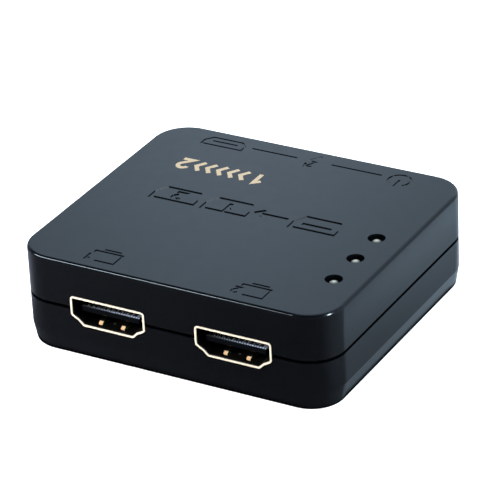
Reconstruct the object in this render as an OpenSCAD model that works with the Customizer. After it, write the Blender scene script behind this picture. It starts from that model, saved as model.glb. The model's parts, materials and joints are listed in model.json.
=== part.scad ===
// Small two-way video splitter: a moulded case in two shells, a circuit board with three
// nineteen-pole sockets, a power inlet, a slide switch and three lamps in the top.
// Millimetres, Z up, feet on Z = 0, output side towards -Y, input side towards +Y.

/* [Case] */
// Width of the case along its output side
case_w = 62; // [60:0.5:80]
// Depth of the case from output side to input side
case_d = 56; // [54:0.5:75]
// Height of the case above its feet
case_h = 18.7; // [17.5:0.1:26]
// Radius of the four upright corners
corner_r = 6.6; // [5.4:0.1:8]
// Thickness of the case walls
wall = 1.8; // [1.4:0.1:2.4]
// Height of the parting line above the case bottom
seam_h = 9.65; // [8.8:0.05:11]
// Width of the shadow groove along the parting line
seam_gap = 0.5; // [0.2:0.05:0.7]
// Width of the upper shell's broken edge above that groove
seam_edge = 0.12; // [0.05:0.01:0.25]
// Radius of the rounded edge of the top face
top_edge_r = 0.6; // [0.3:0.1:1.2]
// Height of the leaning band at the foot of the walls
bevel_h = 3.6; // [2:0.1:5]
// Distance that the leaning band runs inwards
bevel_in = 0.6; // [0.3:0.1:1]
// Radius of the rounded edge of the bottom face
bottom_edge_r = 0.6; // [0.3:0.1:1]
// Height of the locating lip above the parting line
lip_h = 1.3; // [0.8:0.1:2]
// Thickness of the locating lip
lip_t = 0.9; // [0.6:0.1:1.2]

/* [Fastening] */
// Distance of the screw posts from the outer faces
post_inset = 6.6; // [6:0.1:7.5]
// Radius of the posts under the top
top_post_r = 2.5; // [2.2:0.1:3]
// Radius of the posts on the floor
floor_post_r = 2.9; // [2.7:0.1:3.3]
// Height of the posts on the floor, which carry the board
post_h = 3.4; // [2.6:0.1:4.5]
// Radius of the screw shank
screw_r = 1; // [0.8:0.05:1.2]
// Length of the screw under its head
screw_l = 10; // [8.5:0.5:12]
// Radius of the screw head
head_r = 1.8; // [1.5:0.1:2]
// Height of the screw head
head_h = 1.3; // [1:0.1:1.5]
// Depth of the hole that the screw head sits in
head_sink = 2.2; // [1.8:0.1:2.8]
// Depth of the cross in the screw head
cross_d = 0.7; // [0.4:0.1:0.9]
// Width of one slot of the cross in the screw head
cross_w = 0.5; // [0.3:0.1:0.7]
// Length of one slot of the cross in the screw head
cross_l = 2.3; // [1.8:0.1:2.6]

/* [Feet] */
// Radius of a rubber foot
foot_r = 4; // [3:0.1:5]
// Height of a foot below the case
foot_proud = 0.8; // [0.5:0.1:2]
// Depth of the hollow that a foot sits in
foot_sink = 0.5; // [0.3:0.1:0.8]
// Distance of the feet from the left and right faces
foot_side = 12.5; // [11:0.5:16]
// Distance of the feet from the front and rear faces
foot_end = 12.5; // [11:0.5:16]
// Radius of the rounded rim of a foot
foot_edge_r = 0.3; // [0.1:0.1:0.4]

/* [Board] */
// Thickness of the circuit board
board_t = 1.6; // [1:0.1:2]
// Gap between the board and the case walls
board_gap = 0.7; // [0.3:0.1:1.2]

/* [Video sockets] */
// Gap between the output sockets and the screw posts
output_gap = 1.5; // [1:0.1:4]
// Sideways shift of the pair of output sockets
output_shift = 0.3; // [-0.5:0.1:0.5]
// Gap between the input socket and its screw post
input_gap = 0.6; // [0.4:0.1:1.5]
// Width of the socket mouth
hdmi_w = 14; // [13.5:0.1:14.4]
// Height of the socket mouth
hdmi_h = 4.55; // [4.3:0.05:4.8]
// Height of the upright sides of the mouth
hdmi_side = 3; // [2.7:0.05:3.2]
// Width of the mouth's lower edge
hdmi_low_w = 9.7; // [9.2:0.1:10.2]
// Inward run of the shoulder under the upright sides
shoulder_run = 1.3; // [1.1:0.05:1.5]
// Drop of that shoulder
shoulder_drop = 0.7; // [0.5:0.05:0.85]
// Length of the socket from mouth to back
hdmi_l = 11.2; // [10.5:0.1:12.5]
// Depth of the socket's hollow
hdmi_hollow = 7.9; // [7.6:0.1:8.5]
// Thickness of the socket's sheet metal
sheet = 0.3; // [0.2:0.05:0.4]
// Width of the flange round the mouth
rim_w = 0.5; // [0.4:0.05:0.6]
// Depth of the flange round the mouth
rim_d = 0.5; // [0.3:0.1:0.8]
// Distance that the mouth stands out of the case wall
rim_proud = 0.1; // [0:0.05:0.3]
// Width of the contact tongue
tongue_w = 11.6; // [11:0.1:12]
// Thickness of the contact tongue
tongue_t = 1.25; // [1:0.05:1.4]
// Height of the tongue's upper face above the socket's middle
tongue_top = 0.8; // [0.6:0.05:1]
// Distance of the tongue's front end behind the mouth
tongue_back = 1.1; // [0.8:0.1:1.6]
// Length of the taper at the tongue's front end
nose_run = 0.12; // [0.1:0.02:0.24]
// Drop of that taper on each side of the tongue
nose_drop = 0.24; // [0.16:0.02:0.4]
// Distance between neighbouring contacts of a row
pole_pitch = 1; // [0.98:0.01:1.05]
// Width of a contact blade
pole_w = 0.46; // [0.36:0.02:0.5]
// Thickness of a contact
pole_t = 0.18; // [0.12:0.02:0.22]
// Height that a contact blade stands out of the tongue
pole_proud = 0.06; // [0.02:0.02:0.08]
// Width of a contact's soldering tail
tail_w = 0.28; // [0.2:0.02:0.32]
// Length of a soldering tail along the board
tail_l = 0.9; // [0.6:0.1:1.2]
// Sideways place of the spring fingers
finger_x = 2.25; // [2:0.05:3]
// Width of a spring finger
finger_w = 1; // [0.8:0.1:1.2]
// Distance of a finger's crest behind the tongue's front end
finger_crest = 1.4; // [1.2:0.1:1.8]
// Length of a finger's turned-down tip
finger_tip = 1.3; // [1:0.1:1.4]
// Drop of a finger's turned-down tip
finger_drop = 0.4; // [0.2:0.05:0.45]
// Height that a spring finger bends into the mouth
finger_rise = 0.5; // [0.3:0.05:0.6]
// Width of the legs that fix a socket to the board
leg_w = 1.5; // [1.2:0.1:1.8]
// Distance of the front legs behind the mouth
leg_front = 5; // [4.8:0.1:5.5]
// Distance of the rear legs behind the mouth
leg_rear = 9.6; // [8.8:0.1:9.8]
// Length of a leg below the board
leg_out = 0.8; // [0.4:0.1:1.2]
// Rounding of the mouth's upper corners
mouth_top_r = 0.2; // [0.15:0.05:0.5]
// Rounding of the mouth's lower and side corners
mouth_low_r = 0.2; // [0.15:0.05:0.4]
// Rounding of the hollow under the shoulder
shoulder_r = 0.7; // [0.6:0.05:0.8]

/* [Power inlet] */
// Sideways shift of the power inlet from the middle between input socket and switch
inlet_shift = -1; // [-1.2:0.1:1.2]
// Width of the inlet mouth
inlet_w = 6.9; // [6.6:0.1:7.2]
// Height of the inlet mouth
inlet_h = 3.1; // [2.9:0.05:3.3]
// Height of the upright sides of the inlet mouth
inlet_side = 1.6; // [1.4:0.05:1.8]
// Width of the inlet mouth's lower edge
inlet_low_w = 5.2; // [4.9:0.1:5.5]
// Inward run of the inlet's shoulder
inlet_run = 0.5; // [0.4:0.05:0.6]
// Drop of the inlet's shoulder
inlet_drop = 0.6; // [0.4:0.05:0.7]
// Length of the inlet from mouth to back
inlet_l = 9.2; // [8.8:0.1:10]
// Depth of the inlet's hollow
inlet_hollow = 6.6; // [6:0.1:7]
// Width of the inlet's tongue
inlet_tongue_w = 4.4; // [4.2:0.1:4.8]
// Thickness of the inlet's tongue
inlet_tongue_t = 0.9; // [0.7:0.05:1]
// Height of the tongue's lower face above the inlet's middle
inlet_tongue_z = 0; // [-0.2:0.05:0.2]
// Distance between neighbouring contacts of the inlet
inlet_pitch = 0.8; // [0.75:0.01:0.85]
// Rounding of the inlet mouth's upper corners
inlet_top_r = 0.4; // [0.3:0.05:0.5]
// Rounding of the inlet mouth's other corners
inlet_low_r = 0.3; // [0.25:0.05:0.35]

/* [Switch] */
// Gap between the switch and its screw post
switch_gap = 1; // [0.6:0.1:2]
// Width of the switch housing
switch_w = 8.6; // [8:0.1:9]
// Depth of the switch housing
switch_d = 4.3; // [3.8:0.1:5]
// Height of the switch housing
switch_h = 3.5; // [3.2:0.1:4]
// Thickness of the switch base
switch_base_t = 0.8; // [0.6:0.1:1]
// Travel of the slider
switch_travel = 2; // [1.5:0.1:2.5]
// Width of the slider's knob
knob_w = 1.8; // [1.4:0.1:2.2]
// Height of the slider's knob
knob_h = 1.5; // [1.2:0.1:1.6]
// Depth of the finger scoop in the case wall
scoop_d = 0.8; // [0.4:0.1:1]
// Width of the scoop beside the slot
scoop_rim = 1.8; // [1.2:0.1:2.4]
// Distance between neighbouring switch pins
pin_pitch = 2.5; // [2:0.1:2.6]
// Width of a switch pin
pin_w = 0.5; // [0.4:0.05:0.6]

/* [Lamps] */
// Distance of the lamps from the right face
lamp_inset = 5.8; // [5.6:0.1:7]
// Fore-and-aft place of the middle lamp
lamp_y = -6; // [-7:0.1:0]
// Distance between neighbouring lamps
lamp_pitch = 8.1; // [6:0.1:8.5]
// Radius of the lamp holes in the top
lamp_hole_r = 1.6; // [1.55:0.05:1.8]
// Radius of a lamp
lamp_r = 1.45; // [1.3:0.05:1.5]
// Length of the straight part of a lamp above its flange
lamp_l = 3.4; // [2.5:0.1:4]
// Radius of a lamp's flange
lamp_flange_r = 1.9; // [1.8:0.05:2.1]
// Height of a lamp's flange
lamp_flange_h = 0.9; // [0.6:0.1:1.2]
// Depth of the lamp's tip below the top face
lamp_sink = 0.4; // [0.2:0.1:0.8]
// Radius of the tubes that hold the lamps
shroud_r = 2.5; // [2.3:0.1:2.8]
// Distance between the two leads of a lamp
lead_pitch = 2; // [1.6:0.1:2.4]
// Width of a lamp lead
lead_w = 0.45; // [0.35:0.05:0.6]
// Length of a lead below the board
lead_out = 1.2; // [0.6:0.1:1.6]

/* [Board parts] */
// Distance of the splitter chip in front of the case's middle
chip_front = 1; // [-1:0.1:2]
// Width of the splitter chip
chip_w = 10; // [8:0.5:12]
// Height of the splitter chip
chip_h = 1.4; // [1:0.1:1.8]
// Number of leads on each side of the splitter chip
chip_leads = 14; // [8:1:16]
// Distance between neighbouring leads of the splitter chip
chip_pitch = 0.5; // [0.45:0.01:0.5]
// Width of a lead of the splitter chip
chip_lead_w = 0.24; // [0.18:0.01:0.28]
// Reach of a chip lead outside its body
lead_reach = 1; // [0.8:0.1:1.3]
// Length of a chip lead's foot on the board
lead_foot = 0.55; // [0.4:0.05:0.65]
// Thickness of a chip lead
chip_lead_t = 0.15; // [0.1:0.01:0.2]
// Radius of the dimple that marks the chip's first lead
dimple_r = 0.5; // [0.3:0.1:0.6]
// Depth of that dimple
dimple_d = 0.1; // [0.05:0.05:0.2]
// Distance of the dimple from the chip's edges
dimple_inset = 1.2; // [0.8:0.1:1.6]
// Gap on the board between neighbouring parts
part_gap = 2; // [1.6:0.1:2.4]
// Length of the memory chip
memory_l = 4.9; // [4.6:0.1:5.2]
// Width of the memory chip
memory_w = 3.9; // [3.6:0.1:4.2]
// Height of the memory chip
memory_h = 1.5; // [1.2:0.1:1.8]
// Distance between neighbouring leads of the memory chip
memory_pitch = 1.27; // [1.1:0.01:1.3]
// Width of a lead of the memory chip
memory_lead_w = 0.42; // [0.3:0.02:0.5]
// Length of the voltage regulator
regulator_l = 6.5; // [6:0.1:7]
// Width of the voltage regulator
regulator_w = 3.5; // [3.2:0.1:4]
// Height of the voltage regulator
regulator_h = 1.6; // [1.4:0.1:2]
// Distance between neighbouring leads of the voltage regulator
regulator_pitch = 2.3; // [2:0.1:2.4]
// Width of a lead of the voltage regulator
regulator_lead_w = 0.7; // [0.5:0.1:0.9]
// Width of the voltage regulator's cooling tab
tab_w = 3; // [2.4:0.1:3.4]
// Radius of a capacitor can
cap_r = 2.5; // [2:0.1:3]
// Height of a capacitor with its base
cap_h = 5.4; // [4.5:0.1:7]
// Height of a capacitor's base
cap_base_h = 0.8; // [0.6:0.1:1]
// Margin of a capacitor's base round its can
cap_base_rim = 0.2; // [0.1:0.05:0.3]
// Length of the crystal can
crystal_l = 10.2; // [8:0.1:11]
// Width of the crystal can
crystal_w = 3.6; // [3:0.1:4]
// Height of the crystal can
crystal_h = 3.5; // [2.5:0.1:4]
// Height of the crystal's flange
crystal_rim_h = 0.5; // [0.3:0.1:0.8]
// Width of the crystal's flange
crystal_rim_w = 0.4; // [0.2:0.1:0.6]
// Length of a chip resistor
resistor_l = 1.6; // [1.2:0.1:2]
// Width of a chip resistor
resistor_w = 0.8; // [0.6:0.1:1]
// Height of a chip resistor
resistor_h = 0.5; // [0.4:0.05:0.7]
// Distance between neighbouring chip resistors
resistor_pitch = 2; // [1.6:0.1:2.4]

/* [Fits] */
// Clearance between parts that are pushed together
fit_gap = 0.04; // [0.02:0.01:0.1]
// Clearance between the slider and its housing
run_gap = 0.06; // [0.04:0.01:0.12]
// Clearance of the case round sockets and inlet
mouth_gap = 0.2; // [0.1:0.05:0.3]
// Clearance between the locating lip and the top shell
lip_gap = 0.1; // [0.05:0.05:0.2]
// Clearance of screws, legs and leads in their holes
hole_gap = 0.15; // [0.1:0.05:0.25]

/* [Hidden] */
$fn = 64;
case_z = foot_proud;
case_top = case_z + case_h;
seam_z = case_z + seam_h;
floor_top = case_z + wall;
board_z = floor_top + post_h;
board_top = board_z + board_t;
board_w = case_w - 2 * wall - 2 * board_gap;
board_d = case_d - 2 * wall - 2 * board_gap;
post_x = case_w / 2 - post_inset;
post_y = case_d / 2 - post_inset;
head_seat = case_z + head_sink;
screw_tip = head_seat + screw_l;
lip_in = corner_r - wall - lip_gap - lip_t;
lip_out = corner_r - wall - lip_gap;
band_lean = atan(bevel_in / bevel_h);
edge_x = corner_r - bevel_in - bottom_edge_r * (1 - sin(band_lean)) / cos(band_lean);
hdmi_rise = hdmi_h / 2 + sheet;
hdmi_z = board_top + hdmi_rise;
inlet_rise = inlet_h / 2 + sheet;
inlet_z = board_top + inlet_rise;
mouth_depth = wall + lip_gap + lip_t + rim_proud + 1;
lamp_x = case_w / 2 - lamp_inset;
lamp_dome_z = case_top - lamp_sink - lamp_r;
lamp_seat = lamp_dome_z - lamp_l;
switch_face = case_d / 2 - wall - lip_gap - lip_t - mouth_gap;
switch_mid = board_top + switch_base_t + (switch_h - sheet - switch_base_t) / 2;
slider_l = switch_w - 2 * sheet - 2 * run_gap - switch_travel;
slider_h = switch_h - sheet - switch_base_t - 2 * run_gap;
slot_w = knob_w + switch_travel + 4 * hole_gap;
slot_h = knob_h + 4 * hole_gap;
tail_y = hdmi_l + hole_gap;
inner_post_x = post_x - floor_post_r;
output_x = inner_post_x - output_gap - rim_w - hdmi_w / 2;
input_x = input_gap + rim_w + hdmi_w / 2 - inner_post_x;
switch_x = inner_post_x - switch_gap - switch_w / 2;
inlet_x = inlet_shift + (input_x + hdmi_w / 2 + rim_w + switch_x - switch_w / 2) / 2;
chip_reach = chip_w / 2 + lead_reach;
crystal_x = -chip_reach - part_gap - crystal_w / 2;
memory_x = chip_reach + part_gap + memory_l / 2;
memory_y = -chip_front - part_gap - memory_w / 2;
regulator_y = chip_reach - chip_front + lead_reach + part_gap + regulator_w / 2;
cap_x = chip_reach + part_gap + cap_r + 2 * cap_base_rim;
regulator_x = cap_x - cap_r - cap_base_rim - part_gap - regulator_l / 2;
cap_y = part_gap + cap_r - chip_front;
cap_pitch = 2 * cap_r + 2 * cap_base_rim + part_gap / 2;
resistor_y = case_d / 2 - tail_y - tail_l - part_gap / 2 - resistor_l / 2;
arc_steps = 5;
mouth_radii = [
  mouth_low_r, shoulder_r, mouth_low_r, mouth_top_r, mouth_top_r, mouth_low_r, shoulder_r, mouth_low_r
];
inlet_radii = [
  inlet_low_r, inlet_low_r, inlet_low_r, inlet_top_r, inlet_top_r, inlet_low_r, inlet_low_r, inlet_low_r
];

// Outline helpers: corners are listed anticlockwise, each with its own rounding.
function unit(v) = v / norm(v);
function outward(a, b) = let (e = unit(b - a)) [e[1], -e[0]];
function moved(a, p, b, d) =
  let (m = outward(a, p), n = outward(p, b))
  p + d * (m + n) / (1 + m * n);
function grown(points, d) =
  let (n = len(points))
  [for (i = [0 : n - 1]) moved(points[(i + n - 1) % n], points[i], points[(i + 1) % n], d)];
function turn(a, p, b) = sign(cross(p - a, b - p));
function swing(a) = a > 180 ? a - 360 : a < -180 ? a + 360 : a;
function corner(a, p, b, r) =
  let (
    u = unit(a - p),
    v = unit(b - p),
    half = acos(u * v) / 2,
    mid = p + unit(u + v) * r / sin(half),
    s = p + u * r / tan(half) - mid,
    e = p + v * r / tan(half) - mid,
    from = atan2(s[1], s[0]),
    step = swing(atan2(e[1], e[0]) - from) / arc_steps
  )
  [for (k = [0 : arc_steps]) mid + r * [cos(from + k * step), sin(from + k * step)]];
function outline(points, radii, d) =
  let (g = grown(points, d), n = len(points))
  [for (i = [0 : n - 1])
    let (a = g[(i + n - 1) % n], p = g[i], b = g[(i + 1) % n])
    each corner(a, p, b, max(0.1, radii[i] + d * turn(a, p, b)))];
function mouth(w, h, side, run, drop, low) = [
  [low / 2, -h / 2], [w / 2 - run, h / 2 - side - drop], [w / 2, h / 2 - side], [w / 2, h / 2],
  [-w / 2, h / 2], [-w / 2, h / 2 - side], [run - w / 2, h / 2 - side - drop], [-low / 2, -h / 2]
];
function hdmi_outline(d) =
  outline(mouth(hdmi_w, hdmi_h, hdmi_side, shoulder_run, shoulder_drop, hdmi_low_w), mouth_radii, d);
function inlet_outline(d) =
  outline(mouth(inlet_w, inlet_h, inlet_side, inlet_run, inlet_drop, inlet_low_w), inlet_radii, d);

// Places
module at_posts() {
  for (sx = [-1, 1], sy = [-1, 1])
    translate([sx * post_x, sy * post_y, 0])
      children();
}

module at_foot(sx, sy) {
  translate([sx * (case_w / 2 - foot_side), sy * (case_d / 2 - foot_end), 0])
    children();
}

module at_lamp(k) {
  translate([lamp_x, lamp_y + k * lamp_pitch, 0])
    children();
}

module at_output(side) {
  translate([output_shift + side * output_x, -case_d / 2 - rim_proud, hdmi_z])
    children();
}

module at_input() {
  translate([input_x, case_d / 2 + rim_proud, hdmi_z])
    rotate(180)
      children();
}

module at_inlet() {
  translate([inlet_x, case_d / 2 + rim_proud, inlet_z])
    rotate(180)
      children();
}

// Solids from outlines: prism runs along Y, bar runs along X.
module prism(points, y0, y1) {
  translate([0, y1, 0])
    rotate([90, 0, 0])
      linear_extrude(y1 - y0)
        polygon(points);
}

module bar(points, x0, x1) {
  translate([x0, 0, 0])
    rotate([90, 0, 90])
      linear_extrude(x1 - x0)
        polygon(points);
}

module block(w, d, h) {
  translate([-w / 2, -d / 2, 0])
    cube([w, d, h]);
}

// A wall section carried round the case: four corners and four straight runs.
module around() {
  for (side = [0 : 3]) {
    run = side % 2 == 0 ? case_d : case_w;
    across = side % 2 == 0 ? case_w : case_d;
    rotate(90 * side)
      translate([across / 2 - corner_r, run / 2 - corner_r, 0]) {
        rotate_extrude(angle = 90)
          children();
        rotate([90, 0, 0])
          linear_extrude(run - 2 * corner_r)
            children();
      }
  }
}

module top_section() {
  low = seam_z + seam_gap / 2;
  difference() {
    union() {
      polygon([
        [0, low],
        [corner_r - seam_edge, low],
        [corner_r, low + seam_edge],
        [corner_r, case_top - top_edge_r],
        [0, case_top - top_edge_r]
      ]);
      translate([0, case_top - top_edge_r])
        square([corner_r - top_edge_r, top_edge_r]);
      translate([corner_r - top_edge_r, case_top - top_edge_r])
        circle(top_edge_r);
    }
    translate([0, low - 1])
      square([corner_r - wall, case_top - wall - low + 1]);
  }
}

module bottom_section() {
  high = seam_z - seam_gap / 2;
  difference() {
    union() {
      polygon([
        [0, case_z],
        [edge_x, case_z],
        [edge_x + bottom_edge_r * cos(band_lean), case_z + bottom_edge_r * (1 - sin(band_lean))],
        [corner_r, case_z + bevel_h],
        [corner_r, high],
        [0, high]
      ]);
      translate([edge_x, case_z + bottom_edge_r])
        circle(bottom_edge_r);
    }
    translate([0, floor_top])
      square([corner_r - wall, high]);
  }
}

module lip_section() {
  root = seam_z - seam_gap / 2;
  polygon([
    [lip_out + lip_gap + wall / 4, root - 2 * lip_t],
    [lip_in, root - lip_t],
    [lip_in, seam_z + lip_h],
    [lip_out, seam_z + lip_h],
    [lip_out, root],
    [lip_out + lip_gap + wall / 4, root]
  ]);
}

module slab(z0, z1) {
  translate([0, 0, z0])
    block(case_w - 2 * corner_r, case_d - 2 * corner_r, z1 - z0);
}

module switch_slot() {
  face = case_d / 2;
  top = seam_z + seam_gap;
  low = switch_mid - slot_h / 2;
  translate([switch_x - slot_w / 2, switch_face + mouth_gap / 2, low])
    cube([slot_w, face, top - low]);
  translate([switch_x - switch_w / 2 - mouth_gap, face - mouth_depth, board_top])
    cube([switch_w + 2 * mouth_gap, mouth_depth - wall - rim_proud, switch_h + mouth_gap]);
  for (end = [-1, 1])
    translate([switch_x + end * slot_w / 2, face - scoop_d, switch_mid])
      rotate([-90, 0, 0])
        cylinder(r = slot_h / 2 + scoop_rim, h = 1 + scoop_d);
  translate([switch_x - slot_w / 2, face - scoop_d, switch_mid - slot_h / 2 - scoop_rim])
    cube([slot_w, 1 + scoop_d, slot_h + 2 * scoop_rim]);
}

module wall_openings() {
  for (side = [-1, 1])
    at_output(side)
      prism(hdmi_outline(rim_w + mouth_gap), -1, mouth_depth);
  at_input()
    prism(hdmi_outline(rim_w + mouth_gap), -1, mouth_depth);
  at_inlet()
    prism(inlet_outline(rim_w + mouth_gap), -1, mouth_depth);
  switch_slot();
}

// Case
module top_cover() {
  color("#202329")
    difference() {
      union() {
        around()
          top_section();
        slab(case_top - wall, case_top);
        at_posts()
          translate([0, 0, board_top])
            cylinder(r = top_post_r, h = case_top - wall / 2 - board_top);
        for (k = [-1 : 1])
          at_lamp(k)
            translate([0, 0, lamp_seat])
              cylinder(r = shroud_r, h = case_top - wall / 2 - lamp_seat);
      }
      at_posts()
        translate([0, 0, board_top - 1])
          cylinder(r = screw_r + fit_gap, h = screw_tip - board_top + 2);
      for (k = [-1 : 1])
        at_lamp(k)
          translate([0, 0, lamp_seat - 1])
            cylinder(r = lamp_hole_r, h = case_top - lamp_seat + 2);
      wall_openings();
    }
}

module bottom_cover() {
  color("#1b1d22")
    difference() {
      union() {
        around()
          bottom_section();
        slab(case_z, floor_top);
        around()
          lip_section();
        at_posts()
          translate([0, 0, case_z + bottom_edge_r])
            cylinder(r = floor_post_r, h = board_z - case_z - bottom_edge_r);
      }
      at_posts() {
        translate([0, 0, case_z - 1])
          cylinder(r = head_r + hole_gap, h = head_sink + 1);
        translate([0, 0, case_z])
          cylinder(r = screw_r + hole_gap, h = board_z - case_z + 1);
      }
      for (sx = [-1, 1], sy = [-1, 1])
        at_foot(sx, sy)
          translate([0, 0, case_z - 1])
            cylinder(r = foot_r + hole_gap, h = foot_sink + 1);
      wall_openings();
    }
}

module case_screws() {
  color("#2c2c30")
    at_posts()
      difference() {
        union() {
          translate([0, 0, head_seat - head_h])
            cylinder(r = head_r, h = head_h);
          translate([0, 0, head_seat - head_h / 2])
            cylinder(r = screw_r, h = screw_l - screw_r + head_h / 2);
          translate([0, 0, screw_tip - screw_r])
            cylinder(r1 = screw_r, r2 = screw_r / 3, h = screw_r);
        }
        for (a = [0, 90])
          rotate(a)
            translate([0, 0, head_seat - head_h - 1])
              block(cross_l, cross_w, cross_d + 1);
      }
}

module foot(sx, sy) {
  color("#2a2a2c")
    at_foot(sx, sy)
      rotate_extrude() {
        translate([0, foot_edge_r])
          square([foot_r, foot_proud + foot_sink - foot_edge_r]);
        square([foot_r - foot_edge_r, foot_edge_r]);
        translate([foot_r - foot_edge_r, foot_edge_r])
          circle(foot_edge_r);
      }
}

module foot_front_left() {
  foot(-1, -1);
}

module foot_front_right() {
  foot(1, -1);
}

module foot_rear_left() {
  foot(-1, 1);
}

module foot_rear_right() {
  foot(1, 1);
}

// Board
module leg_slots(half_w, y_list, rise) {
  for (side = [-1, 1], y = y_list)
    translate([side * (half_w + sheet / 2), y, -rise - board_t - 1])
      block(sheet + 2 * hole_gap, leg_w + 2 * hole_gap, board_t + 2);
}

module circuit_board() {
  edge = corner_r - wall - board_gap;
  color("#1f6b3a")
    difference() {
      union() {
        for (sx = [-1, 1], sy = [-1, 1])
          translate([sx * (board_w / 2 - edge), sy * (board_d / 2 - edge), board_z])
            cylinder(r = edge, h = board_t);
        translate([0, 0, board_z])
          block(board_w - 2 * edge, board_d, board_t);
        translate([0, 0, board_z])
          block(board_w, board_d - 2 * edge, board_t);
      }
      at_posts()
        translate([0, 0, board_z - 1])
          cylinder(r = screw_r + 2 * hole_gap, h = board_t + 2);
      for (side = [-1, 1])
        at_output(side)
          leg_slots(hdmi_w / 2, [leg_front, leg_rear], hdmi_rise);
      at_input()
        leg_slots(hdmi_w / 2, [leg_front, leg_rear], hdmi_rise);
      at_inlet()
        leg_slots(inlet_w / 2, [leg_front], inlet_rise);
      for (k = [-1 : 1], side = [-1, 1])
        at_lamp(k)
          translate([side * lead_pitch / 2, 0, board_z - 1])
            cylinder(r = lead_w / sqrt(2) + hole_gap, h = board_t + 2);
      for (k = [-1 : 1])
        translate([switch_x + k * pin_pitch, switch_face - switch_d / 2, board_z - 1])
          cylinder(r = pin_w / sqrt(2) + hole_gap, h = board_t + 2);
    }
}

// Video sockets, drawn with the mouth at Y = 0 and the middle of the mouth at Z = 0
module spring_finger() {
  base = -hdmi_h / 2;
  root = hdmi_hollow - 2 * hole_gap;
  crest = tongue_back + finger_crest;
  top = base + finger_rise;
  bend = crest - finger_tip / 2;
  tip = crest - finger_tip;
  low = top - finger_drop;
  dip = top - finger_drop / 8;
  bar([
    [root, base - sheet], [root, base], [crest, top], [bend, dip], [tip, low],
    [tip, low - sheet], [bend + sheet / 3, dip - sheet], [crest, top - sheet],
    [root - 3 * sheet, base - sheet]
  ], -finger_w / 2, finger_w / 2);
}

module finger_window() {
  base = -hdmi_h / 2 - sheet;
  root = hdmi_hollow - 2 * hole_gap;
  translate([-finger_w / 2 - hole_gap, rim_d + hole_gap, base - 1])
    cube([finger_w + 2 * hole_gap, root - rim_d - 2 * hole_gap, sheet + 1.5]);
}

module legs(half_w, side_z, y_list, rise) {
  for (side = [-1, 1], y = y_list)
    translate([side * (half_w + sheet / 2), y, -rise - board_t - leg_out])
      block(sheet, leg_w, rise + board_t + leg_out + side_z);
}

module hdmi_shell() {
  color("#d8b45a")
    union() {
      difference() {
        union() {
          prism(hdmi_outline(sheet), 0, hdmi_l);
          prism(hdmi_outline(rim_w), 0, rim_d);
        }
        prism(hdmi_outline(0), -1, hdmi_l + 1);
        prism(hdmi_outline(sheet / 2), -1, rim_d / 2);
        for (side = [-1, 1], flip = [0, 1])
          translate([side * finger_x, 0, 0])
            mirror([0, 0, flip])
              finger_window();
      }
      for (side = [-1, 1], flip = [0, 1])
        translate([side * finger_x, 0, 0])
          mirror([0, 0, flip])
            spring_finger();
      legs(hdmi_w / 2, hdmi_h / 4, [leg_front, leg_rear], hdmi_rise);
    }
}

// Contact blades of one row: lower is the underside of the blade, spare widens them into slots.
module blades(count, pitch, front, back, lower, spare) {
  for (k = [0 : count - 1])
    translate([(k - (count - 1) / 2) * pitch, 0, 0])
      translate([-pole_w / 2 - spare, front - spare, lower - spare])
        cube([pole_w + 2 * spare, back - front + 2 * spare, pole_t + 2 * spare]);
}

module tails(count, pitch, back, lower, rise) {
  for (k = [0 : count - 1])
    translate([(k - (count - 1) / 2) * pitch, 0, 0])
      bar([
        [back - pole_t, lower], [back, lower], [back, pole_t - rise], [back + tail_l, pole_t - rise],
        [back + tail_l, -rise], [back - pole_t, -rise]
      ], -tail_w / 2, tail_w / 2);
}

module hdmi_insulator() {
  tongue_low = tongue_top - tongue_t;
  upper = tongue_top + pole_proud - pole_t;
  lower = tongue_low - pole_proud;
  front = tongue_back + 2 * hole_gap;
  color("#17181b")
    difference() {
      union() {
        prism(hdmi_outline(-fit_gap), hdmi_hollow, hdmi_l);
        bar([
          [tongue_back, tongue_low + nose_drop], [tongue_back + nose_run, tongue_low], [hdmi_l, tongue_low],
          [hdmi_l, tongue_top], [tongue_back + nose_run, tongue_top], [tongue_back, tongue_top - nose_drop]
        ], -tongue_w / 2, tongue_w / 2);
      }
      blades(10, pole_pitch, front, hdmi_l + 1, upper, fit_gap / 2);
      blades(9, pole_pitch, front, hdmi_l + 1, lower, fit_gap / 2);
    }
}

module hdmi_contacts() {
  upper = tongue_top + pole_proud - pole_t;
  lower = tongue_top - tongue_t - pole_proud;
  front = tongue_back + 2 * hole_gap;
  color("#e2c46e") {
    blades(10, pole_pitch, front, tail_y + pole_t, upper, 0);
    tails(10, pole_pitch, tail_y + pole_t, upper, hdmi_rise);
    blades(9, pole_pitch, front, tail_y + pole_t, lower, 0);
    tails(9, pole_pitch, tail_y + pole_t, lower, hdmi_rise);
  }
}

module output_1_shell() {
  at_output(-1)
    hdmi_shell();
}

module output_1_insulator() {
  at_output(-1)
    hdmi_insulator();
}

module output_1_contacts() {
  at_output(-1)
    hdmi_contacts();
}

module output_2_shell() {
  at_output(1)
    hdmi_shell();
}

module output_2_insulator() {
  at_output(1)
    hdmi_insulator();
}

module output_2_contacts() {
  at_output(1)
    hdmi_contacts();
}

module input_shell() {
  at_input()
    hdmi_shell();
}

module input_insulator() {
  at_input()
    hdmi_insulator();
}

module input_contacts() {
  at_input()
    hdmi_contacts();
}

// Power inlet
module power_inlet_shell() {
  color("#b9bcc0")
    at_inlet()
      union() {
        difference() {
          union() {
            prism(inlet_outline(sheet), 0, inlet_l);
            prism(inlet_outline(rim_w), 0, rim_d);
          }
          prism(inlet_outline(0), -1, inlet_l + 1);
          prism(inlet_outline(sheet / 2), -1, rim_d / 2);
        }
        legs(inlet_w / 2, inlet_h / 4, [leg_front], inlet_rise);
      }
}

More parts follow.
